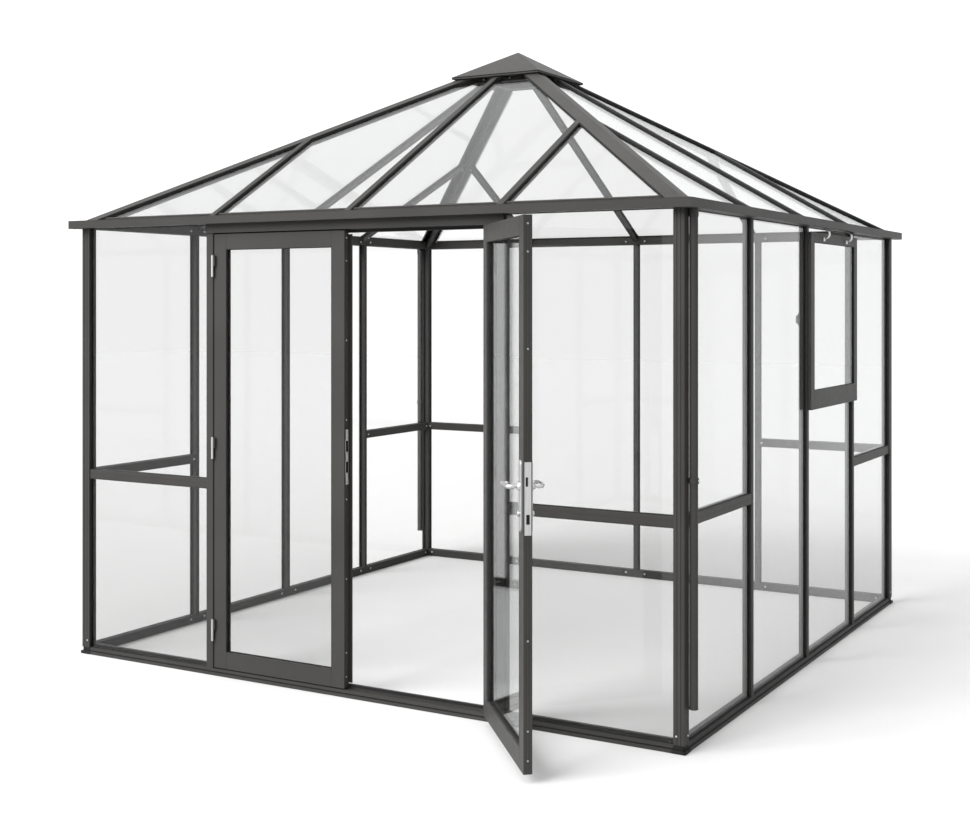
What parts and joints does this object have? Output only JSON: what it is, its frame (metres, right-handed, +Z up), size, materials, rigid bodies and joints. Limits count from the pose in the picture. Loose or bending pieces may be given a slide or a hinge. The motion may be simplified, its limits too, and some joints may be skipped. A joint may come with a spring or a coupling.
{
  "type": "glass greenhouse",
  "caption": "Square glass greenhouse with aluminium bars, a pyramid roof with a capped apex, a gutter all round, a hinged double door and a top-hung side window.",
  "frame": {"origin": "on the ground, at the middle of the underside of the front base rail, under the middle of the doorway", "axes": "+Z up, -Y out of the doorway, +X to the right seen from outside the front; the plan's middle is at Y = 1.467 m"},
  "size_m": [3.0632, 3.5981, 2.876],
  "materials": {
    "frame": "satin",
    "glass": "clear",
    "steel": "satin",
    "gasket": "matte"
  },
  "bodies": {
    "frame": {"base_front": "frame", "base_right": "frame", "base_back": "frame", "base_left": "frame", "corner_posts": "frame", "wall_bars": "frame", "middle_rails": "frame", "eave_plates": "frame", "gutter_front": "frame", "gutter_right": "frame", "gutter_back": "frame", "gutter_left": "frame", "hip_rafters": "frame", "main_rafters": "frame", "jack_rafters": "frame", "apex_ring": "frame", "roof_collar": "frame", "roof_cap": "frame", "front_roof_glass": "glass", "right_roof_glass": "glass", "back_roof_glass": "glass", "left_roof_glass": "glass", "front_wall_glass": "glass", "right_wall_glass": "glass", "back_wall_glass": "glass", "left_wall_glass": "glass", "window_cill": "frame", "sash_stiles": "frame", "sash_rails": "frame", "sash_glass": "glass", "window_hinges": "steel", "window_handle": "frame", "downpipes": "frame", "pipe_clips": "frame", "door_jambs": "frame", "door_header": "frame", "door_threshold": "frame", "frame_hinges": "steel"},
    "left_leaf": {"left_leaf_stiles": "frame", "left_leaf_rails": "frame", "left_leaf_glass": "glass", "left_leaf_strip": "frame", "left_leaf_hinges": "steel"},
    "right_leaf": {"right_leaf_stiles": "frame", "right_leaf_rails": "frame", "right_leaf_glass": "glass", "right_leaf_handles": "steel", "right_leaf_hinges": "steel"}
  },
  "joints": [
    {"name": "left_leaf_hinge", "type": "hinge", "parent": "frame", "child": "left_leaf", "pos_m": [-0.70325, -0.0245, 0], "axis": [0, 0, -1], "range_deg": [0, 150]},
    {"name": "right_leaf_hinge", "type": "hinge", "parent": "frame", "child": "right_leaf", "pos_m": [0.70325, -0.0245, 0], "axis": [0, 0, 1], "range_deg": [-131, 19]}
  ]
}
